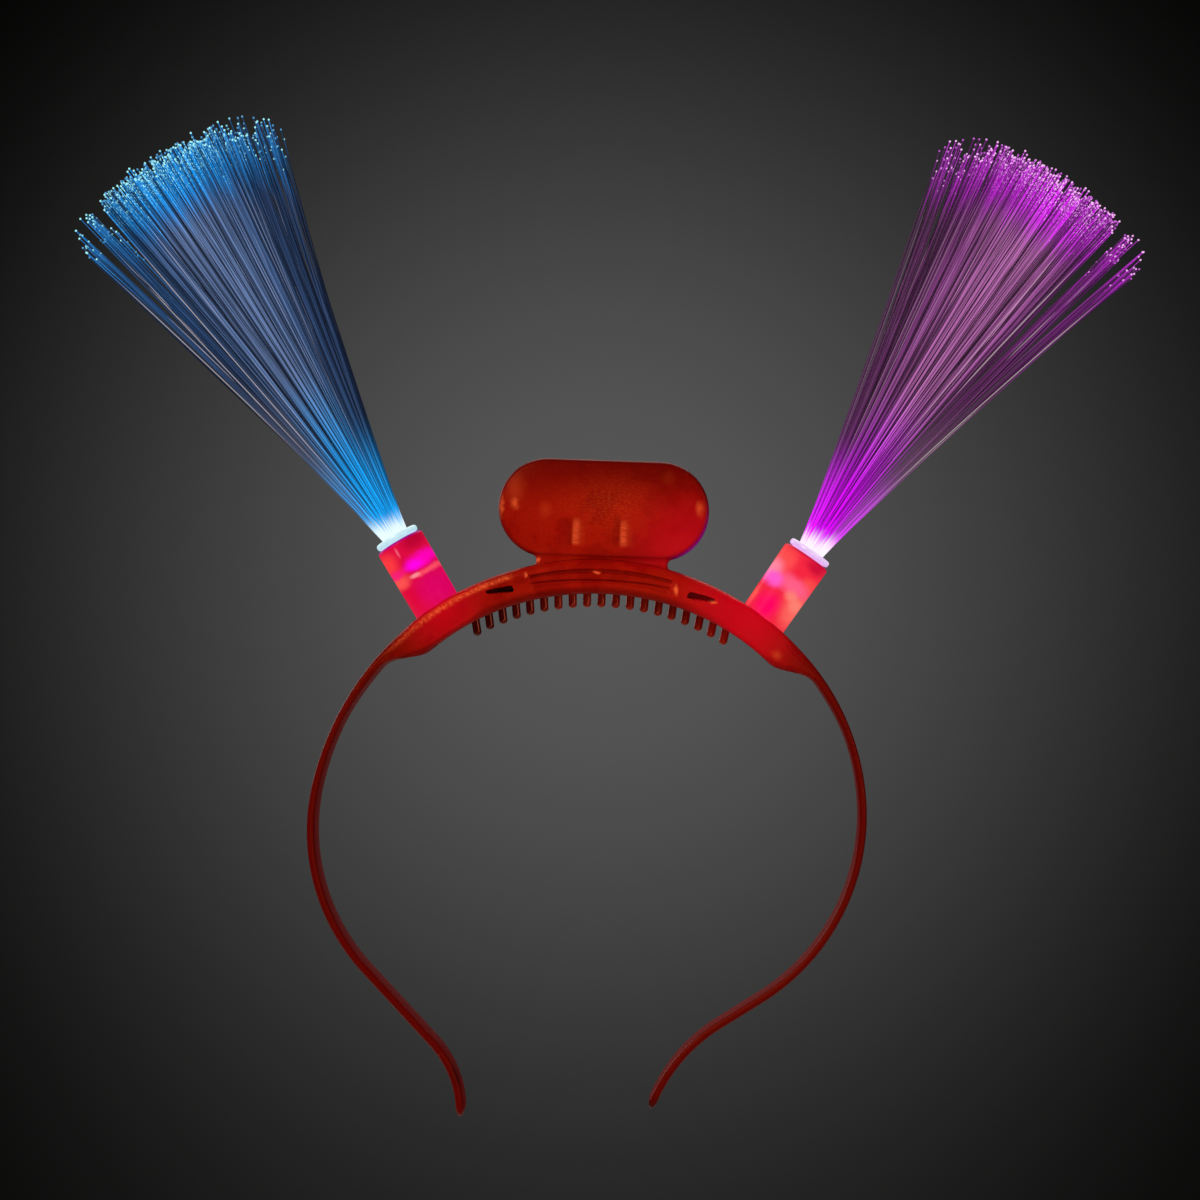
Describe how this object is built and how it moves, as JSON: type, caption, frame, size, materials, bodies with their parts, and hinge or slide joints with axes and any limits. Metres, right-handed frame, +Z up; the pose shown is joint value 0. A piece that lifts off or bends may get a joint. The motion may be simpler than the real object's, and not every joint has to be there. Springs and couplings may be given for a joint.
{
  "type": "fiber optic headband",
  "caption": "Red plastic headband with flicked arms, a comb under its hollow crown, a battery pod on top and lamp tubes that hold flaring plumes of optical fibers.",
  "frame": {"origin": "where the band sits on top of the head: the tip of the middle comb tooth, at the middle of the band's depth", "axes": "+Z up, +X to the right seen from the front, -Y towards the front"},
  "size_m": [0.2666, 0.0583, 0.2482],
  "materials": {
    "red_plastic": "translucent moulded red, glossy",
    "comb_plastic": "translucent moulded red, glossy, in shade",
    "lit_tube": "translucent red tube, lit from inside",
    "led_resin": "clear lamp resin, lit",
    "collar_resin": "clear moulded resin, lit by the fibers",
    "fiber_blue": "clear optical fibers that glow blue",
    "fiber_violet": "clear optical fibers that glow violet"
  },
  "bodies": {
    "root": {"headband": "red_plastic", "comb_cover": "comb_plastic", "battery_pod": "red_plastic", "pod_cover": "red_plastic", "led_tube_left": "lit_tube", "led_tube_right": "lit_tube", "led_left": "led_resin", "led_right": "led_resin", "fiber_collar_left": "collar_resin", "fiber_collar_right": "collar_resin", "fiber_plume_left": "fiber_blue", "fiber_plume_right": "fiber_violet"}
  },
  "joints": []
}
